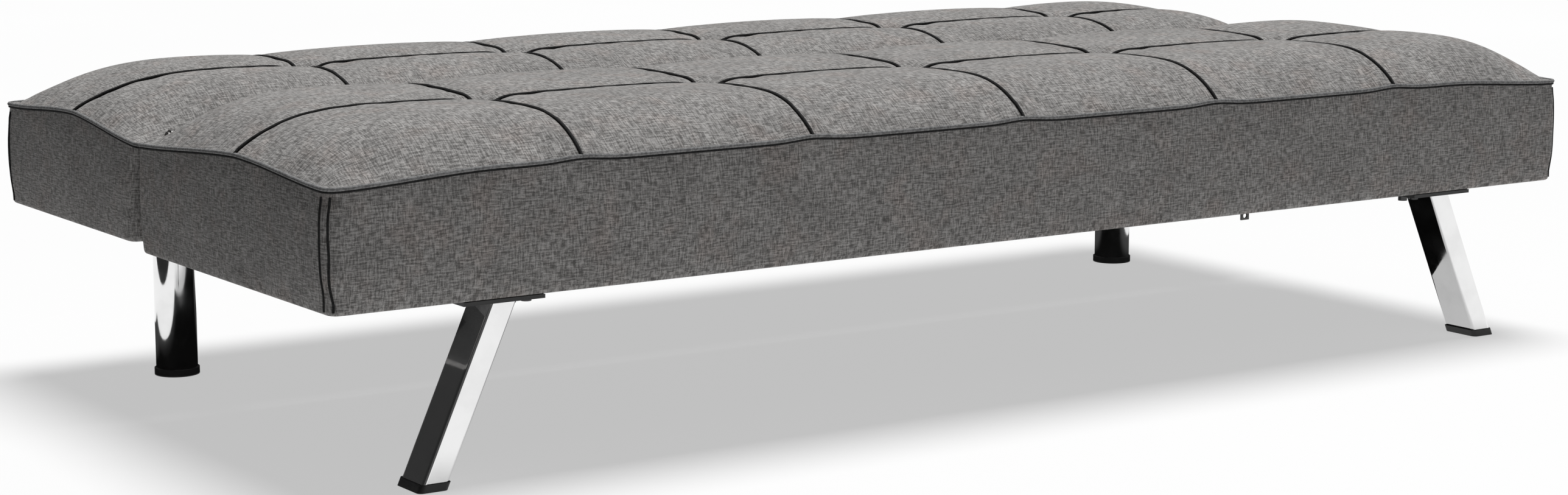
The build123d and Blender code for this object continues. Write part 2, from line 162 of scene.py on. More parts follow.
class Graph:
    """A material's node graph around one Principled shader."""

    def __init__(self, name: str) -> None:
        """Start a material.

        Args:
            name: The material's name.
        """
        self.material = bpy.data.materials.new(name)
        self.material.use_nodes = True
        self.tree = self.material.node_tree
        self.tree.nodes.clear()
        self.shader = self.node("ShaderNodeBsdfPrincipled", {}, {})
        self.node("ShaderNodeOutputMaterial", {}, {"Surface": self.shader.out()})

    def node(self, kind: str, settings: dict[str, object], values: dict[str | int, object]) -> Node:
        """Add a node.

        Args:
            kind: The node's type.
            settings: Its own settings, set first.
            values: Its input sockets' values or links.

        Returns:
            The wrapped node.
        """
        node = self.tree.nodes.new(kind)
        for name, value in settings.items():
            setattr(node, name, value)
        for name, value in values.items():
            if isinstance(value, Signal):
                self.tree.links.new(value.socket, node.inputs[name])
            else:
                node.inputs[name].default_value = value
        return Node(self, node)

    def feed(self, **values: object) -> None:
        """Set or link the Principled shader's sockets; underscores stand for spaces."""
        for name, value in values.items():
            socket = self.shader.node.inputs[name.replace("_", " ").title().replace("Ior", "IOR")]
            if isinstance(value, Signal):
                self.tree.links.new(value.socket, socket)
            else:
                socket.default_value = value

    def weave_place(self, across: float, along: float) -> Signal:
        """The cloth's own UV place, scaled along each thread direction.

        Args:
            across: Repeats per metre along U.
            along: Repeats per metre along V.

        Returns:
            The scaled vector.
        """
        place = self.node("ShaderNodeUVMap", {"uv_map": WEAVE_UV}, {}).out()
        return self.node("ShaderNodeMapping", {}, {"Vector": place, "Scale": (across, along, 1.0)}).out()

    def object_place(self, scale: tuple[float, float, float] = (1.0, 1.0, 1.0)) -> Signal:
        """The object-space place, scaled along each axis.

        Args:
            scale: Factor along X, Y and Z.

        Returns:
            The scaled vector.
        """
        place = self.node("ShaderNodeTexCoord", {}, {}).out("Object")
        return self.node("ShaderNodeMapping", {}, {"Vector": place, "Scale": scale}).out()

    def noise(self, place: Signal, scale: float, detail: float = 3.0, roughness: float = 0.55) -> Signal:
        """Noise value around 0.5.

        Args:
            place: Where the noise is read.
            scale: Its frequency.
            detail: Its octaves.
            roughness: How strong the fine octaves are.

        Returns:
            The value.
        """
        values = {"Vector": place, "Scale": scale, "Detail": detail, "Roughness": roughness}
        return self.node("ShaderNodeTexNoise", {}, values).out(0)

    def blend(self, amount: Signal | float, first: object, second: object, mode: str = "MIX") -> Signal:
        """Mix two colours.

        Args:
            amount: Share of the second colour.
            first: Colour or colour link.
            second: Colour or colour link.
            mode: The Mix node's blend mode.

        Returns:
            The mixed colour.
        """
        settings = {"data_type": "RGBA", "blend_type": mode}
        return self.node("ShaderNodeMix", settings, {0: amount, 6: first, 7: second}).out(2)

    def bump(self, height: Signal, strength: float, distance: float) -> Signal:
        """Normal from a height.

        Args:
            height: The height signal.
            strength: Share of the effect.
            distance: Height in metres that 1 stands for.

        Returns:
            The normal.
        """
        values = {"Height": height, "Strength": strength, "Distance": distance}
        return self.node("ShaderNodeBump", {}, values).out()


def grey(value: float, warmth: float = 0.0) -> tuple[float, float, float, float]:
    """A grey colour, slightly warm or cool.

    Args:
        value: Brightness.
        warmth: Share added to red and taken from blue.

    Returns:
        The colour with full alpha.
    """
    return (value * (1 + warmth), value, value * (1 - warmth), 1.0)


# ------------------------------------------------------------------ finishes
@dataclass(frozen=True)
class Linen:
    """Heathered upholstery cloth in a plain weave with thick slubs."""

    name: str = "grey_linen"
    dark: float = 0.100
    light: float = 0.345
    threads_per_metre: float = 1000.0
    slubs_per_metre: float = 560.0
    slub_stretch: float = 6.0

    def material(self) -> bpy.types.Material:
        """Build the material."""
        graph = Graph(self.name)
        fine, slub = self.threads_per_metre, self.slubs_per_metre
        warp = graph.noise(graph.weave_place(slub, slub / self.slub_stretch), 1.0, 2.0)
        weft = graph.noise(graph.weave_place(slub / self.slub_stretch, slub), 1.0, 2.0)
        flecks = graph.noise(graph.weave_place(fine, fine), 0.8, 1.0)
        heather = (warp * 0.42 + weft * 0.42 + flecks * 0.16).ramp(0.38, 0.63)
        cloud = graph.noise(graph.object_place((1.0, 1.0, 1.6)), 14.0, 4.0, 0.6)
        colour = graph.blend(heather, grey(self.dark, 0.035), grey(self.light, 0.025))
        warm = graph.noise(graph.object_place(), 22.0, 3.0, 0.6).ramp(0.48, 0.72)
        colour = graph.blend(warm * 0.5, colour, (1.10, 0.99, 0.95, 1.0), "MULTIPLY")
        shade = graph.blend(cloud.ramp(0.3, 0.7), grey(0.90), grey(1.08))
        colour = graph.blend(1.0, colour, shade, "MULTIPLY")
        weave = graph.noise(graph.weave_place(fine, fine / 3), 1.0, 0.0)
        weave = weave + graph.noise(graph.weave_place(fine / 3, fine), 1.0, 0.0)
        height = weave * 0.5 + heather * 0.7
        graph.feed(base_color=colour, roughness=0.93, specular_ior_level=0.18, sheen_weight=0.08,
                   sheen_roughness=0.45, normal=graph.bump(height, 0.55, 0.0009))
        return graph.material


@dataclass(frozen=True)
class SewnCord:
    """Twisted sewing cord or cloth-covered piping; made near black, it is also painted shade along the seams and
    painted shadow under the welt.
    """

    name: str
    value: float
    twists_per_metre: float = 420.0

    def material(self) -> bpy.types.Material:
        """Build the material."""
        graph = Graph(self.name)
        fleck = graph.noise(graph.object_place(), self.twists_per_metre, 2.0)
        colour = graph.blend(fleck.ramp(0.35, 0.65), grey(self.value * 0.7), grey(self.value * 1.3))
        graph.feed(base_color=colour, roughness=0.9, specular_ior_level=0.15,
                   normal=graph.bump(fleck, 0.5, 0.0006))
        return graph.material


@dataclass(frozen=True)
class Metal:
    """Plated or bare metal with faint polishing marks and smudges."""

    name: str
    value: float
    roughness: float
    smudge: float
    warmth: float = 0.0
    scratches: float = 0.02

    def material(self) -> bpy.types.Material:
        """Build the material."""
        graph = Graph(self.name)
        smudge = graph.noise(graph.object_place(), 26.0, 4.0, 0.6).ramp(0.35, 0.75)
        marks = graph.noise(graph.object_place((260.0, 260.0, 14.0)), 1.0, 2.0)
        rough = smudge * self.smudge + self.roughness
        colour = graph.blend(smudge, grey(self.value, self.warmth), grey(self.value * 0.93, self.warmth))
        graph.feed(base_color=colour, metallic=1.0, roughness=rough,
                   normal=graph.bump(marks, self.scratches, 0.0002))
        return graph.material


@dataclass(frozen=True)
class Moulding:
    """Moulded plastic, rubber or powder coat with a fine grain."""

    name: str
    value: float
    roughness: float
    grain_per_metre: float = 1400.0
    grain: float = 0.25

    def material(self) -> bpy.types.Material:
        """Build the material."""
        graph = Graph(self.name)
        grain = graph.noise(graph.object_place(), self.grain_per_metre, 2.0)
        wear = graph.noise(graph.object_place(), 40.0, 4.0, 0.65).ramp(0.4, 0.8)
        colour = graph.blend(wear, grey(self.value), grey(self.value * 1.7))
        graph.feed(base_color=colour, roughness=wear * 0.12 + self.roughness,
                   normal=graph.bump(grain, self.grain, 0.0003))
        return graph.material


@dataclass(frozen=True)
class Timber:
    """Planed softwood with growth rings and fine pores."""

    name: str = "planed_softwood"

    def material(self) -> bpy.types.Material:
        """Build the material."""
        graph = Graph(self.name)
        place = graph.object_place((6.0, 40.0, 60.0))
        rings = graph.noise(place, 1.0, 5.0, 0.6)
        band = (rings * 9.0).math("SINE").ramp(-0.6, 1.0)
        pores = graph.noise(graph.object_place((60.0, 900.0, 900.0)), 1.0, 2.0)
        colour = graph.blend(band, (0.62, 0.43, 0.24, 1.0), (0.76, 0.58, 0.36, 1.0))
        graph.feed(base_color=colour, roughness=pores * 0.2 + 0.55, normal=graph.bump(pores, 0.3, 0.0004))
        return graph.material


@dataclass(frozen=True)
class NonWoven:
    """Black spun dust cloth with pressed fibres."""

    name: str = "black_non_woven"

    def material(self) -> bpy.types.Material:
        """Build the material."""
        graph = Graph(self.name)
        fibre = graph.noise(graph.object_place(), 520.0, 4.0, 0.7)
        values = {"Vector": graph.object_place(), "Scale": 420.0}
        press = graph.node("ShaderNodeTexVoronoi", {}, values).out(0)
        height = fibre * 0.6 + press * 0.4
        colour = graph.blend(height.ramp(0.3, 0.7), grey(0.012), grey(0.035))
        graph.feed(base_color=colour, roughness=0.85, normal=graph.bump(height, 0.5, 0.0005))
        return graph.material


class Finish(Enum):
    """The finishes of the object, by the record's material slot."""

    LINEN = "linen_fabric"
    PIPING = "piping_fabric"
    FOAM = "foam"
    DUST = "dust_fabric"
    TWINE = "twine"
    TIMBER = "timber"
    CHROME = "chromed_steel"
    PLASTIC = "black_plastic"
    POWDER = "black_steel"
    ZINC = "zinc_steel"
    BOLT = "black_bolt"
    RUBBER = "rubber"


class Palette:
    """Builds each finish once and hands it out."""

    def __init__(self) -> None:
        """Build every finish."""
        self.materials = {
            Finish.LINEN: Linen().material(),
            # Near-black cord: real seams, partly painted shade in the tufting grooves and corner folds, and
            # painted shadow under the welt.
            Finish.PIPING: SewnCord("dark_seam_and_painted_shade_cord", 0.018).material(),
            Finish.FOAM: Moulding("open_cell_foam", 0.55, 0.9, 700.0, 0.8).material(),
            Finish.DUST: NonWoven().material(),
            Finish.TWINE: SewnCord("tufting_twine", 0.45).material(),
            Finish.TIMBER: Timber().material(),
            Finish.CHROME: Metal("polished_chrome", 0.86, 0.035, 0.06).material(),
            Finish.PLASTIC: Moulding("black_moulded_plastic", 0.012, 0.42).material(),
            Finish.POWDER: Moulding("black_powder_coat", 0.014, 0.38, 900.0, 0.4).material(),
            Finish.ZINC: Metal("black_zinc_plate", 0.10, 0.38, 0.16, 0.02, 0.1).material(),
            Finish.BOLT: Metal("black_oxide_steel", 0.08, 0.35, 0.1).material(),
            Finish.RUBBER: Moulding("black_rubber", 0.015, 0.75, 600.0, 0.5).material(),
        }
        self.welt = SewnCord("linen_welt", 0.17).material()


# ------------------------------------------------------------------ mesh helpers
def deselect_all() -> None:
    """Leave nothing selected."""
    for thing in bpy.context.view_layer.objects:
        thing.select_set(False)


def activate(piece: bpy.types.Object) -> None:
    """Make one piece the only selected and active one."""
    deselect_all()
    piece.select_set(True)
    bpy.context.view_layer.objects.active = piece


def smooth_step(value: np.ndarray) -> np.ndarray:
    """Cubic step from 0 to 1."""
    held = np.clip(value, 0.0, 1.0)
    return held * held * (3.0 - 2.0 * held)


def shoulder(distance: np.ndarray, radius: float) -> np.ndarray:
    """Rise of a stuffed edge: 0 at the edge, 1 a radius inward, steep first."""
    return 1.0 - (1.0 - np.clip(distance / radius, 0.0, 1.0)) ** 3


def spaced(stations: list[float], pitch: float, crowding: float) -> np.ndarray:
    """Grid lines between stations, crowded towards each station.

    Args:
        stations: Places that must be grid lines, in rising order.
        pitch: Mean spacing.
        crowding: 0 for even spacing, towards 1 for lines close to the stations.

    Returns:
        The grid lines.
    """
    lines = [stations[0]]
    for low, high in zip(stations, stations[1:]):
        count = max(2, round((high - low) / pitch))
        share = np.arange(1, count + 1) / count
        share = share - crowding * np.sin(2 * np.pi * share) / (2 * np.pi)
        lines.extend(low + (high - low) * share)
    return np.array(lines)


def tube_along(name: str, paths: list[list[Vector]], radius: float, closed: bool) -> bpy.types.Object:
    """Round cord along one or more paths, as a mesh.

    Args:
        name: The piece's name.
        paths: Centre-line points of each run.
        radius: The cord's radius.
        closed: Whether each run joins its own start.

    Returns:
        The piece.
    """
    curve = bpy.data.curves.new(name, "CURVE")
    curve.dimensions = "3D"
    curve.bevel_depth = radius
    curve.bevel_resolution = 1
    curve.use_fill_caps = not closed
    for path in paths:
        spline = curve.splines.new("POLY")
        spline.points.add(len(path) - 1)
        for point, place in zip(spline.points, path):
            point.co = (*place, 1.0)
        spline.use_cyclic_u = closed
    piece = bpy.data.objects.new(name, curve)
    bpy.context.scene.collection.objects.link(piece)
    activate(piece)
    bpy.ops.object.convert(target="MESH")
    bpy.ops.object.shade_smooth()
    return bpy.context.view_layer.objects.active


# ------------------------------------------------------------------ cushions
class Region(Enum):
    """Parts of a cushion's cover, by which way the cloth is cut."""

    TOP = 0
    LONG_WALL = 1
    END_WALL = 2
    BOTTOM = 3


@dataclass
class TuftedCushion:
    """One cushion: a box-sided pad whose top is drawn down into two rows of puffed panels."""

    unit: str
    body: str
    outer_sign: int
    palette: Palette
    wall_lean: float = 0.0
    corner_radius: float = 0.013
    corner_rise: float = 0.005
    edge_rise: float = 0.014
    seam_rise: float = 0.003
    junction_rise: float = -0.001
    crown_rise: float = 0.056
    puff: float = 0.0035
    crease: float = 0.0010
    crease_width: float = 0.008
    node_dip: float = 0.012
    node_radius: float = 0.017
    node_spread: float = 0.035
    long_shoulder: float = 0.125
    end_shoulder: float = 0.165
    junction_shoulder: float = 0.160
    wall_bulge: float = 0.003
    hem_radius: float = 0.004
    hem_width: float = 0.026
    pitch: float = 0.0085
    crowding: float = 0.62
    seam_cord_radius: float = 0.0018
    welt_radius: float = 0.0022
    junction_sink: float = 0.0030
    junction_clear: float = 0.018
    cloth_cap: float = 0.0035
    wall_cap_share: float = 0.4
    still_band: float = 0.02
    waking_band: float = 0.08
    seam_end_lift: float = 0.002
    corner_reach: float = 0.19
    fabric_inset: float = 0.0008
    wave_share: float = 0.35
    slot_margin: float = 0.003
    slot_pawl_room: float = 0.005
    seat_slot_reach: float = 0.058
    back_slot_reach: float = 0.040
    slot_overrun: float = 0.03
    slot_below: float = 0.02
    slot_under_edge: float = 0.004
    corner_seam_radius: float = 0.0013
    cord_step: float = 0.005

    def __post_init__(self) -> None:
        """Take the places from the frame."""
        low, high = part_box(f"{self.unit}_cover")
        ties_low, ties_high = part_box(f"{self.unit}_tuft_ties")
        ring_low, ring_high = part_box(f"{self.unit}_piping")
        self.half_length = high.x
        self.underside = low.z
        self.depth = high.y - low.y
        self.outer_y = low.y if self.outer_sign < 0 else high.y
        self.edge = (ring_low.z + ring_high.z) / 2
        self.seam_in = abs((ties_low.y + ties_high.y) / 2 - self.outer_y)
        twine = (ties_high.y - ties_low.y) / 2
        self.cross = list(np.linspace(ties_low.x + twine, ties_high.x - twine, 5))

    # -------------------------------------------------------------- heights
    def wall_top(self, end_gap: np.ndarray, inward: np.ndarray) -> np.ndarray:
        """Height of the top edge, carried across the whole plan.

        Args:
            end_gap: Distance from the nearer end.
            inward: Distance from the outer long wall.

        Returns:
            Heights over the floor.
        """
        rise = smooth_step(inward / self.seam_in)
        past = np.clip((inward - self.seam_in) / (self.depth - self.seam_in), 0.0, 1.0)
        fall = 0.5 * (past + smooth_step(past))
        end_line = self.corner_rise + (self.edge_rise + self.seam_end_lift - self.corner_rise) * rise
        end_line = end_line + (self.junction_rise - self.edge_rise - self.seam_end_lift) * fall
        long_line = (self.edge_rise - self.corner_rise) * smooth_step(end_gap / self.corner_reach)
        return self.edge + end_line + long_line * (1.0 - smooth_step(inward / self.depth))

    def top_height(self, x: np.ndarray, inward: np.ndarray) -> np.ndarray:
        """Height of the tufted top.

        Args:
            x: Places along the length.
            inward: Distances from the outer long wall.

        Returns:
            Heights over the floor.
        """
        end_gap = self.half_length - np.abs(x)
        base = self.wall_top(end_gap, inward)
        swell = shoulder(end_gap, self.end_shoulder) * shoulder(inward, self.long_shoulder)
        swell = swell * shoulder(self.depth - inward, self.junction_shoulder)
        columns = [-self.half_length, *self.cross, self.half_length]
        rows = [0.0, self.seam_in, self.depth]
        u, cross_gap = self._cell(x, columns, self.cross)
        v, long_gap = self._cell(inward, rows, [self.seam_in])
        dome = (1.0 - np.abs(2 * u - 1) ** 2.4) * (1.0 - np.abs(2 * v - 1) ** 2.4)
        groove = np.maximum(np.exp(-cross_gap / self.crease_width), np.exp(-long_gap / self.crease_width))
        node_gap = np.hypot(cross_gap, long_gap)
        node = self.node_dip * np.exp(-((node_gap / self.node_radius) ** 2))
        node = node + 0.4 * self.node_dip * np.exp(-node_gap / self.node_spread)
        height = base + (self.edge + self.crown_rise - base) * swell
        seam_end = self.seam_rise * np.exp(-((cross_gap / 0.03) ** 2)) * (1.0 - swell)
        return height + seam_end + self.puff * dome - self.crease * groove * swell - node

    @staticmethod
    def _cell(place: np.ndarray, stations: list[float], seams: list[float]) -> tuple[np.ndarray, np.ndarray]:
        """Where each place lies in its panel.

        Args:
            place: Places on one axis.
            stations: All panel borders.
            seams: The borders that are seams.

        Returns:
            The share of the way across the panel, and the distance to the nearest seam.
        """
        borders = np.array(stations)
        index = np.clip(np.searchsorted(borders, place) - 1, 0, len(borders) - 2)
        share = (place - borders[index]) / (borders[index + 1] - borders[index])
        gap = np.min([np.abs(place - seam) for seam in seams], axis=0)
        return np.clip(share, 0.0, 1.0), gap

    # -------------------------------------------------------------- shape
    def rounded(self, x: np.ndarray, inward: np.ndarray) -> tuple[np.ndarray, np.ndarray]:
        """Round the plan's square corners.

        Args:
            x: Places along the length.
            inward: Distances from the outer long wall.

        Returns:
            The moved places.
        """
        radius = self.corner_radius
        middle = self.depth / 2
        across = inward - middle
        a = np.clip((np.abs(x) - (self.half_length - radius)) / radius, 0.0, 1.0)
        b = np.clip((np.abs(across) - (middle - radius)) / radius, 0.0, 1.0)
        new_x = np.sign(x) * (np.abs(x) - a * radius * (1.0 - np.sqrt(1.0 - b * b / 2)))
        new_across = np.sign(across) * (np.abs(across) - b * radius * (1.0 - np.sqrt(1.0 - a * a / 2)))
        return new_x, new_across + middle

    def to_y(self, inward: np.ndarray) -> np.ndarray:
        """Y of places given as distances from the outer long wall."""
        return self.outer_y - self.outer_sign * inward

    def build_shell(self) -> bpy.types.Object:
        """Build the cover, open underneath: tufted top, four walls and turned-in hem.

        Returns:
            The shell.
        """
        columns = spaced([-self.half_length, *self.cross, self.half_length], self.pitch, self.crowding)
        rows = spaced([0.0, self.seam_in, self.depth], self.pitch, self.crowding)
        grid_x, grid_in = np.meshgrid(columns, rows, indexing="ij")
        height = self.top_height(grid_x, grid_in)
        place_x, place_in = self.rounded(grid_x, grid_in)
        shell = bmesh.new()
        seam_layer = shell.verts.layers.float.new("held")
        grid = [
            [shell.verts.new((place_x[i, j], self.to_y(place_in[i, j]), height[i, j]))
             for j in range(len(rows))]
            for i in range(len(columns))
        ]
        seam_columns = [int(np.argmin(np.abs(columns - seam))) for seam in self.cross]
        seam_row = int(np.argmin(np.abs(rows - self.seam_in)))
        for i, line in enumerate(grid):
            for j, vert in enumerate(line):
                if i in seam_columns or j == seam_row:
                    vert[seam_layer] = 1.0
        for i in range(len(columns) - 1):
            for j in range(len(rows) - 1):
                face = shell.faces.new((grid[i][j], grid[i + 1][j], grid[i + 1][j + 1], grid[i][j + 1]))
                face.material_index = Region.TOP.value
        ring = [grid[i][0] for i in range(len(columns))]
        ring += [grid[-1][j] for j in range(1, len(rows))]
        ring += [grid[i][-1] for i in range(len(columns) - 2, -1, -1)]
        ring += [grid[0][j] for j in range(len(rows) - 2, 0, -1)]
        for vert in ring:
            vert[seam_layer] = 1.0
        self._drop_walls(shell, ring, seam_layer)
        bmesh.ops.recalc_face_normals(shell, faces=shell.faces)
        mesh = bpy.data.meshes.new(f"{self.unit}_cushion")
        shell.to_mesh(mesh)
        shell.free()
        piece = bpy.data.objects.new(f"{self.unit}_cushion", mesh)
        bpy.context.scene.collection.objects.link(piece)
        return piece

    def _drop_walls(self, shell: bmesh.types.BMesh, ring: list[bmesh.types.BMVert],
                    held: bmesh.types.BMLayerItem) -> None:
        """Carry the top edge down the walls, round the hem and under the bottom.

        Args:
            shell: The mesh being built.
            ring: The top edge's vertices, in order.
            held: The layer that marks sewn vertices.
        """
        tops = np.array([vert.co for vert in ring])
        middle_y = self.to_y(np.array(self.depth / 2))
        outward = np.array([self._outward(point, middle_y) for point in tops])
        levels = spaced([0.0, 1.0], 0.075, 0.35)[1:]
        previous = ring
        for share in levels:
            previous = self._next_ring(shell, previous, self._wall_points(tops, outward, share), held, 0.0)
        hem_steps = 3
        for step in range(1, hem_steps + 1):
            angle = step / hem_steps * math.pi / 2
            inset = self.hem_radius * (1.0 - math.cos(angle))
            drop = self.hem_radius * math.sin(angle)
            points = self._wall_points(tops, outward, 1.0) - outward * inset
            points[:, 2] -= drop
            previous = self._next_ring(shell, previous, points, held, 1.0)
        points = self._wall_points(tops, outward, 1.0) - outward * (self.hem_radius + self.hem_width)
        points[:, 2] -= self.hem_radius
        self._next_ring(shell, previous, points, held, 1.0)

    @staticmethod
    def close_bottom(piece: bpy.types.Object) -> None:
        """Close the cover across its open bottom with one flat panel.

        Args:
            piece: The shell, open underneath.
        """
        work = bmesh.new()
        work.from_mesh(piece.data)
        rim = [edge for edge in work.edges if edge.is_boundary]
        made = bmesh.ops.contextual_create(work, geom=rim)
        for face in made["faces"]:
            face.material_index = Region.BOTTOM.value
        bmesh.ops.recalc_face_normals(work, faces=work.faces)
        work.to_mesh(piece.data)
        work.free()

    def _outward(self, point: np.ndarray, middle_y: float) -> np.ndarray:
        """Level direction out of the wall at a point of the top edge.

        Args:
            point: The point.
            middle_y: Y of the cushion's middle.

        Returns:
            The unit direction.
        """
        radius = self.corner_radius
        x_past = abs(point[0]) - (self.half_length - radius)
        y_past = abs(point[1] - middle_y) - (self.depth / 2 - radius)
        direction = np.array([max(x_past, 0.0) * np.sign(point[0]),
                              max(y_past, 0.0) * np.sign(point[1] - middle_y), 0.0])
        return direction / max(np.linalg.norm(direction), 1e-9)

    def _wall_points(self, tops: np.ndarray, outward: np.ndarray, share: float) -> np.ndarray:
        """Points of one level of the walls.

        Args:
            tops: The top edge's points.
            outward: Directions out of the wall.
            share: 0 at the top edge, 1 at the hem.

        Returns:
            The points.
        """
        points = tops.copy()
        hem = self.underside + self.hem_radius
        points[:, 2] += (hem - points[:, 2]) * share
        inward = np.abs(points[:, 1] - self.outer_y) / self.depth
        junction_side = np.clip(-outward[:, 1] * self.outer_sign, 0.0, 1.0)
        bulge = self.wall_bulge * math.sin(math.pi * share) ** 0.8
        wave = 1.0 + self.wave_share * np.sin(points[:, 0] * 23.0 + points[:, 1] * 31.0)
        points += outward * (bulge * wave * (1.0 - junction_side) - self.fabric_inset)[:, None]
        points[:, 1] += self.outer_sign * self.wall_lean * share * inward
        return points

    def _next_ring(self, shell: bmesh.types.BMesh, previous: list[bmesh.types.BMVert], points: np.ndarray,
                   held: bmesh.types.BMLayerItem, hold: float) -> list[bmesh.types.BMVert]:
        """Add one ring of vertices and the faces that join it to the ring before.

        Args:
            shell: The mesh being built.
            previous: The ring before.
            points: The new ring's points.
            held: The layer that marks sewn vertices.
            hold: The mark for the new ring.

        Returns:
            The new ring.
        """
        ring = [shell.verts.new(point) for point in points]
        for vert in ring:
            vert[held] = hold
        for i in range(len(ring)):
            j = (i + 1) % len(ring)
            face = shell.faces.new((previous[i], previous[j], ring[j], ring[i]))
            along = ring[j].co - ring[i].co
            region = Region.LONG_WALL if abs(along.x) > abs(along.y) else Region.END_WALL
            face.material_index = Region.BOTTOM.value if hold else region.value
        return ring

    # -------------------------------------------------------------- cloth
    def puff_cloth(self, piece: bpy.types.Object) -> None:
        """Blow the panels up between their seams as cloth, and keep the result.

        Args:
            piece: The shell.
        """
        held = np.zeros(len(piece.data.vertices))
        piece.data.attributes["held"].data.foreach_get("value", held)
        group = piece.vertex_groups.new(name="sewn")
        group.add([int(i) for i in np.nonzero(held > 0.5)[0]], 1.0, "REPLACE")
        before = self._points(piece.data)
        modifier = piece.modifiers.new("puff", "CLOTH")
        cloth = modifier.settings
        cloth.quality = 4
        cloth.mass = 0.25
        cloth.tension_stiffness = 12.0
        cloth.compression_stiffness = 6.0
        cloth.shear_stiffness = 4.0
        cloth.bending_stiffness = 0.25
        cloth.vertex_group_mass = "sewn"
        cloth.pin_stiffness = 1.0
        cloth.shrink_min = -0.012
        cloth.use_pressure = True
        cloth.uniform_pressure_force = 2.2
        cloth.effector_weights.gravity = 0.0
        modifier.collision_settings.use_collision = False
        frames = 16
        modifier.point_cache.frame_start = 1
        modifier.point_cache.frame_end = frames
        scene = bpy.context.scene
        for frame in range(1, frames + 1):
            scene.frame_set(frame)
        posed = piece.evaluated_get(bpy.context.evaluated_depsgraph_get())
        moved = self._points(posed.data) - before
        scene.frame_set(1)
        piece.modifiers.remove(modifier)
        length = np.linalg.norm(moved, axis=1)
        cap = self._cap(before)
        moved *= (cap * np.tanh(length / np.maximum(cap, 1e-6)) / np.maximum(length, 1e-9))[:, None]
        piece.data.vertices.foreach_set("co", (before + moved).ravel())
        piece.data.update()
        LOG.info("%s cloth moved up to %.1f mm", self.unit, length.max() * 1000)

    def _cap(self, points: np.ndarray) -> np.ndarray:
        """How far each point may move: less near the other cushion and on the walls."""
        inward = np.abs(points[:, 1] - self.outer_y)
        junction = smooth_step((self.depth - inward - self.still_band) / self.waking_band)
        on_top = points[:, 2] > self.edge + self.edge_rise
        return np.where(on_top, self.cloth_cap, self.cloth_cap * self.wall_cap_share) * junction + 1e-5

    @staticmethod
    def _points(mesh: bpy.types.Mesh) -> np.ndarray:
        """A mesh's vertex places as an array."""
        flat = np.zeros(len(mesh.vertices) * 3)
        mesh.vertices.foreach_get("co", flat)
        return flat.reshape(-1, 3)

    # -------------------------------------------------------------- finishing
    def refine(self, piece: bpy.types.Object) -> None:
        """Subdivide the shell, cut the hinge slots and lay the weave's UV map.

        Args:
            piece: The shell.
        """
        activate(piece)
        modifier = piece.modifiers.new("smooth", "SUBSURF")
        modifier.levels = 1
        modifier.render_levels = 1
        bpy.ops.object.modifier_apply(modifier=modifier.name)
        self.close_bottom(piece)
        for side in ("left", "right"):
            self._cut_slot(piece, side, self.edge - self.slot_under_edge)
        self._lay_weave(piece)
        activate(piece)
        bpy.ops.object.shade_smooth_by_angle(angle=math.radians(50))

    def _cut_slot(self, piece: bpy.types.Object, side: str, top: float) -> None:
        """Cut the slot for one hinge out of a piece.

        Args:
            piece: The shell, or a cord that runs past the hinge.
            side: Which hinge.
            top: Height of the slot's top.
        """
        seat_low, seat_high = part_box(f"{side}_seat_hinge_plate")
        back_low, back_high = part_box(f"{side}_back_hinge_plate")
        low_x = min(seat_low.x, back_low.x) - self.slot_margin
        high_x = max(seat_high.x, back_high.x) + self.slot_margin
        if side == "left":
            high_x += self.slot_pawl_room
        else:
            low_x -= self.slot_pawl_room
        reach = self.back_slot_reach if self.outer_sign > 0 else self.seat_slot_reach
        junction_y = self.to_y(np.array(self.depth))
        far_y = junction_y + self.outer_sign * reach
        near_y = junction_y - self.outer_sign * self.slot_overrun
        middle = ((low_x + high_x) / 2, (far_y + near_y) / 2, (top + self.underside - self.slot_below) / 2)
        bpy.ops.mesh.primitive_cube_add(size=1.0, location=middle)
        cutter = bpy.context.active_object
        cutter.scale = (high_x - low_x, abs(far_y - near_y), top - self.underside + self.slot_below)
        bpy.ops.object.transform_apply(location=True, rotation=True, scale=True)
        cutter.data.materials.clear()
        activate(piece)
        modifier = piece.modifiers.new("slot", "BOOLEAN")
        modifier.operation = "DIFFERENCE"
        modifier.solver = "EXACT"
        modifier.object = cutter
        bpy.ops.object.modifier_apply(modifier=modifier.name)
        bpy.data.objects.remove(cutter)

    def _lay_weave(self, piece: bpy.types.Object) -> None:
        """Lay the cloth's UV map in metres, by how each part of the cover is cut.

        Args:
            piece: The shell.
        """
        mesh = piece.data
        layer = mesh.uv_layers.get(WEAVE_UV) or mesh.uv_layers.new(name=WEAVE_UV)
        points = self._points(mesh)
        corners = np.zeros(len(mesh.loops), int)
        mesh.loops.foreach_get("vertex_index", corners)
        starts = np.zeros(len(mesh.polygons), int)
        counts = np.zeros(len(mesh.polygons), int)
        regions = np.zeros(len(mesh.polygons), int)
        mesh.polygons.foreach_get("loop_start", starts)
        mesh.polygons.foreach_get("loop_total", counts)
        mesh.polygons.foreach_get("material_index", regions)
        region = np.zeros(len(mesh.loops), int)
        for start, count, value in zip(starts, counts, regions):
            region[start:start + count] = value
        place = points[corners]
        u = np.where(region == Region.END_WALL.value, place[:, 1] + 0.37, place[:, 0])
        walls = (region == Region.END_WALL.value) | (region == Region.LONG_WALL.value)
        v = np.where(walls, place[:, 2] + 0.53, place[:, 1])
        layer.data.foreach_set("uv", np.stack([u, v], axis=1).ravel())

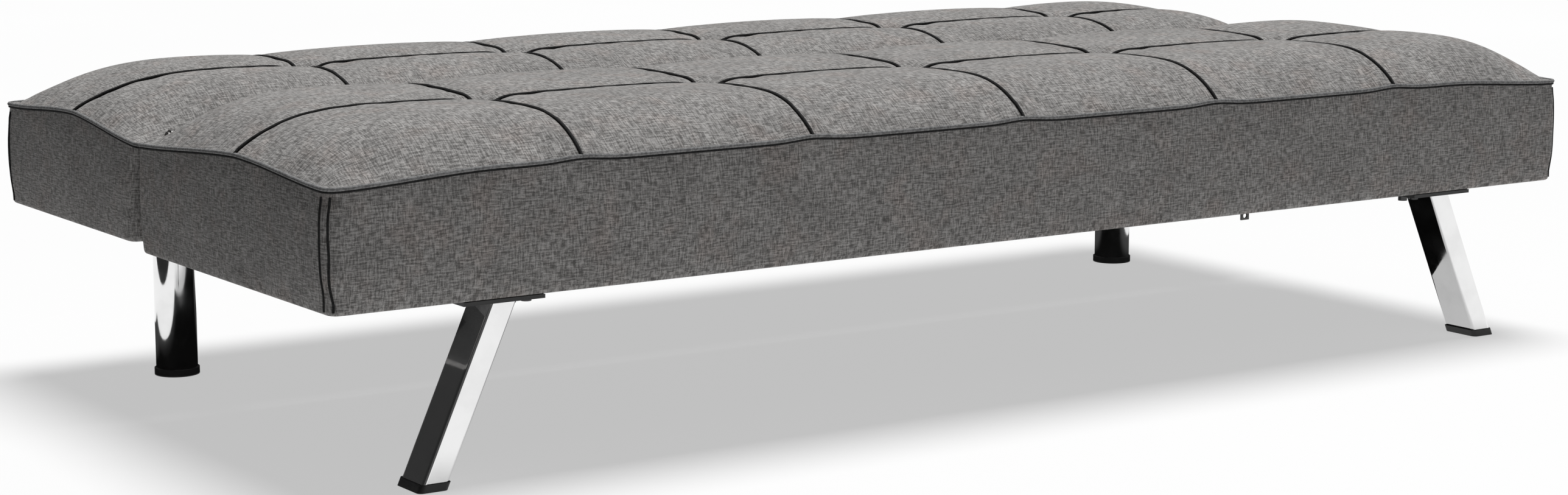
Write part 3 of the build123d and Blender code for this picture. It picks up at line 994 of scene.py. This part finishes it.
    def lay_cords(self, shell: bpy.types.Object) -> list[bpy.types.Object]:
        """Lay the seam cords, the edge welt, a near-black line of painted shadow under the welt and the corner
        seams on the finished shell; the near-black seam and corner cords are partly painted shade.

        Args:
            shell: The finished cushion.

        Returns:
            The cords.
        """
        tree = BVHTree.FromObject(shell, bpy.context.evaluated_depsgraph_get())
        lift = self.seam_cord_radius * 0.9
        runs = []
        for seam in self.cross:
            inward = np.arange(0.001, self.depth - self.junction_clear, self.cord_step)
            runs.append(self._surface_run(tree, np.full_like(inward, seam), inward, lift))
        x = np.arange(-self.half_length + 0.001, self.half_length, self.cord_step)
        runs.append(self._surface_run(tree, x, np.full_like(x, self.seam_in), lift))
        # Real seam cords; their near-black colour is partly painted shade of the tufting grooves.
        seams = tube_along(f"{self.unit}_seam_cords", runs, self.seam_cord_radius, False)
        ring = self._edge_ring()
        edge = self._offset_ring(ring, 0.0004, 0.0)
        welt = tube_along(f"{self.unit}_edge_welt", [edge], self.welt_radius, True)
        # A near-black cord just below the welt: painted shadow cast by the welt on the wall.
        line = self._offset_ring(ring, 0.0002, -self.welt_radius * 1.35)
        painted_shadow_cord = tube_along(f"{self.unit}_edge_painted_shadow_cord", [line], self.welt_radius * 0.62, True)
        # Corner seams in the same near-black cord: real seams, partly painted shade of the corner folds.
        uprights = self._corner_runs(tree)
        corners = tube_along(f"{self.unit}_corner_seams", uprights, self.corner_seam_radius, False)
        for piece in (welt, painted_shadow_cord):
            for side in ("left", "right"):
                self._cut_slot(piece, side, self.edge + self.slot_overrun)
        for piece in (seams, painted_shadow_cord, corners):
            piece.data.materials.append(self.palette.materials[Finish.PIPING])
        welt.data.materials.append(self.palette.welt)
        return [seams, welt, painted_shadow_cord, corners]

    def _surface_run(self, tree: BVHTree, x: np.ndarray, inward: np.ndarray, lift: float) -> list[Vector]:
        """Points on the finished top along a line in plan.

        Args:
            tree: The shell's surface.
            x: Places along the length.
            inward: Distances from the outer long wall.
            lift: Height over the surface.

        Returns:
            The points.
        """
        points = []
        for place_x, y in zip(x, self.to_y(inward)):
            hit, normal, _, _ = tree.ray_cast(Vector((place_x, y, 1.0)), Vector((0.0, 0.0, -1.0)))
            if hit is not None and hit.z > self.edge - 0.02:
                points.append(hit + normal * lift)
        return points

    def _edge_ring(self) -> np.ndarray:
        """Points of the top edge, in order round the cushion."""
        columns = spaced([-self.half_length, *self.cross, self.half_length], self.pitch, self.crowding)
        rows = spaced([0.0, self.seam_in, self.depth], self.pitch, self.crowding)
        x = np.concatenate([columns, np.full(len(rows) - 1, columns[-1]), columns[-2::-1],
                            np.full(len(rows) - 2, columns[0])])
        inward = np.concatenate([np.zeros(len(columns)), rows[1:], np.full(len(columns) - 1, rows[-1]),
                                 rows[-2:0:-1]])
        height = self.top_height(x, inward)
        place_x, place_in = self.rounded(x, inward)
        return np.stack([place_x, self.to_y(place_in), height], axis=1)

    def _offset_ring(self, ring: np.ndarray, out: float, up: float) -> list[Vector]:
        """Move the top edge's points outward and up, sinking the run that faces the other cushion.

        Args:
            ring: The points.
            out: Distance out of the wall.
            up: Distance up.

        Returns:
            The moved points.
        """
        middle_y = self.to_y(np.array(self.depth / 2))
        places = []
        for point in ring:
            outward = self._outward(point, middle_y)
            sunk = max(-outward[1] * self.outer_sign, 0.0) * self.junction_sink
            places.append(Vector(point + outward * (out - sunk) + np.array([0.0, 0.0, up - sunk])))
        return places

    def _corner_runs(self, tree: BVHTree) -> list[list[Vector]]:
        """Points of the two upright seams at each outer corner."""
        runs = []
        for side in (-1, 1):
            for inward in (0.004, self.corner_radius * 1.1):
                run = []
                for z in np.arange(self.underside + 0.004, self.edge + 0.001, 0.008):
                    lean = self.wall_lean * (self.edge - z) / (self.edge - self.underside) * inward / self.depth
                    y = self.to_y(np.array(inward)) + self.outer_sign * lean
                    start = Vector((side * 2.0, y, z))
                    hit, normal, _, _ = tree.ray_cast(start, Vector((-side, 0.0, 0.0)))
                    if hit is not None:
                        run.append(hit + normal * 0.0002)
                runs.append(run)
        return runs

    def build_dust_cloth(self) -> bpy.types.Object:
        """Build the black cloth stretched under the frame, sagging a little between its edges.

        Returns:
            The cloth.
        """
        low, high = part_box(f"{self.unit}_dust_cover")
        thickness = 0.0008
        bpy.ops.mesh.primitive_grid_add(x_subdivisions=96, y_subdivisions=28, size=1.0)
        cloth = bpy.context.active_object
        cloth.name = f"{self.unit}_dust_cloth"
        shape = self._points(cloth.data)
        x = (low.x + high.x) / 2 + shape[:, 0] * (high.x - low.x)
        y = (low.y + high.y) / 2 + shape[:, 1] * (high.y - low.y)
        share_x, share_y = 1 - np.abs(2 * shape[:, 0]), 1 - np.abs(2 * shape[:, 1])
        sag = 0.0006 * np.clip(share_x * 6, 0, 1) * np.clip(share_y * 3, 0, 1)
        ripple = 0.0004 * np.sin(x * 41.0) * np.sin(y * 57.0 + x * 9.0)
        z = self.underside - 0.0006 - sag + ripple * np.clip(share_y * 3, 0, 1)
        cloth.data.vertices.foreach_set("co", np.stack([x, y, z], axis=1).ravel())
        activate(cloth)
        modifier = cloth.modifiers.new("thickness", "SOLIDIFY")
        modifier.thickness = thickness
        modifier.offset = 0.0
        bpy.ops.object.modifier_apply(modifier=modifier.name)
        bpy.ops.object.shade_smooth()
        cloth.data.materials.append(self.palette.materials[Finish.DUST])
        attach(cloth, self.body)
        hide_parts(f"{self.unit}_dust_cover")
        return cloth

    def build(self) -> None:
        """Build the whole cushion, hang its pieces on its unit and log their face counts."""
        shell = self.build_shell()
        self.puff_cloth(shell)
        for _ in Region:
            shell.data.materials.append(self.palette.materials[Finish.LINEN])
        self.refine(shell)
        cords = self.lay_cords(shell)
        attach(shell, self.body)
        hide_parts(f"{self.unit}_cover", f"{self.unit}_foam")
        for cord in cords:
            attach(cord, self.body)
        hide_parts(f"{self.unit}_piping")
        cloth = self.build_dust_cloth()
        for piece in (shell, *cords, cloth):
            LOG.info("%s: %d faces", piece.name, len(piece.data.polygons))


# ------------------------------------------------------------------ carried-over pieces
@dataclass
class Ironwork:
    """The frame's own pieces, which keep their shape and get their finishes."""

    nodes: dict[str, bpy.types.Object]
    record: dict
    palette: Palette

    def dress(self) -> None:
        """Give every carried-over node the finish of its slot."""
        slots = {row["node"]: row["material_slot"] for row in self.record["subparts"]}
        for name, node in self.nodes.items():
            material = self.palette.materials[Finish(slots[name])]
            if not node.material_slots:
                node.data.materials.append(material)
            for slot in node.material_slots:
                slot.material = material
        LOG.info("dressed %d carried-over pieces", len(self.nodes))


# ------------------------------------------------------------------ studio
@dataclass
class Studio:
    """Pale floor, soft lights and the camera."""

    lens: float = 73.33
    turn: float = 33.95
    tilt: float = 9.35
    camera_place: tuple[float, float, float] = (-2.15825, -3.16097, 0.74997)

    def build(self) -> None:
        """Set up the floor, lights, world and camera."""
        self._floor()
        self._sun(4.5, 30.0)
        self._card("studio_end_card", (-1.35, 0.1, 0.55), math.pi / 2, (1.1, 1.8))
        # A black card flat on the floor under the sofa, seen only in reflections: painted shadow of the floor
        # beneath, for the chrome to reflect.
        under = self._card("studio_painted_shadow_card", (0.0, 0.15, 0.001), 0.0, (1.9, 0.9))
        under.visible_diffuse = False
        self._world(0.08)
        self._camera()

    def _floor(self) -> None:
        """Lay a wide pale floor that gives off a little light, so its shadow stays pale."""
        bpy.ops.mesh.primitive_plane_add(size=60.0, location=(0.0, 0.0, -0.0005))
        floor = bpy.context.active_object
        floor.name = "studio_floor"
        graph = Graph("pale_floor")
        cloud = graph.noise(graph.object_place(), 0.6, 2.0)
        colour = graph.blend(cloud, grey(0.31), grey(0.33))
        graph.feed(base_color=colour, roughness=0.9, specular_ior_level=0.1, emission_color=grey(0.52),
                   emission_strength=1.0)
        floor.data.materials.append(graph.material)

    @staticmethod
    def _sun(strength: float, spread: float) -> None:
        """Light everything evenly from overhead, softly.

        Args:
            strength: The light's strength.
            spread: Its angular size in degrees.
        """
        light = bpy.data.lights.new("overhead", "SUN")
        light.energy = strength
        light.angle = math.radians(spread)
        lamp = bpy.data.objects.new("overhead", light)
        lamp.rotation_euler = (math.radians(-10.0), math.radians(14.0), 0.0)
        bpy.context.scene.collection.objects.link(lamp)

    @staticmethod
    def _card(name: str, place: tuple[float, float, float], turn: float,
              size: tuple[float, float]) -> bpy.types.Object:
        """Set a black card that the chrome reflects, unseen by the camera and casting no shadow.

        Args:
            name: The card's name.
            place: Its middle.
            turn: Its turn about Y; none lays it flat.
            size: Its length along X when flat (its height when upright), and its length along Y.

        Returns:
            The card.
        """
        bpy.ops.mesh.primitive_plane_add(size=1.0, location=place, rotation=(0.0, turn, 0.0))
        card = bpy.context.active_object
        card.name = name
        card.scale = (*size, 1.0)
        bpy.ops.object.transform_apply(location=False, rotation=True, scale=True)
        graph = Graph(name)
        grain = graph.noise(graph.object_place(), 90.0, 2.0)
        graph.feed(base_color=graph.blend(grain, grey(0.008), grey(0.014)), roughness=1.0)
        card.data.materials.append(graph.material)
        card.visible_camera = False
        card.visible_shadow = False
        return card

    @staticmethod
    def _world(strength: float) -> None:
        """Fill the room with weak pale light."""
        world = bpy.data.worlds.new("studio")
        world.use_nodes = True
        background = world.node_tree.nodes["Background"]
        background.inputs["Color"].default_value = (1.0, 1.0, 1.0, 1.0)
        background.inputs["Strength"].default_value = strength
        bpy.context.scene.world = world

    def _camera(self) -> None:
        """Place the camera."""
        camera = bpy.data.cameras.new("camera")
        camera.lens = self.lens
        camera.sensor_width = 36.0
        holder = bpy.data.objects.new("camera", camera)
        holder.location = self.camera_place
        holder.rotation_euler = (math.radians(90.0 - self.tilt), 0.0, math.radians(-self.turn))
        bpy.context.scene.collection.objects.link(holder)
        bpy.context.scene.camera = holder


def main() -> None:
    """Build the looks round the frame."""
    logging.basicConfig(level=logging.INFO, format="%(name)s: %(message)s")
    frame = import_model()
    bpy.context.scene.view_settings.view_transform = "Standard"
    palette = Palette()
    TuftedCushion("seat", "seat_unit", -1, palette).build()
    TuftedCushion("back", "back_unit", 1, palette, wall_lean=0.018, crown_rise=0.053, long_shoulder=0.150,
                  end_shoulder=0.200).build()
    Ironwork(frame["nodes"], frame["record"], palette).dress()
    Studio().build()


if __name__ == "__main__":
    main()
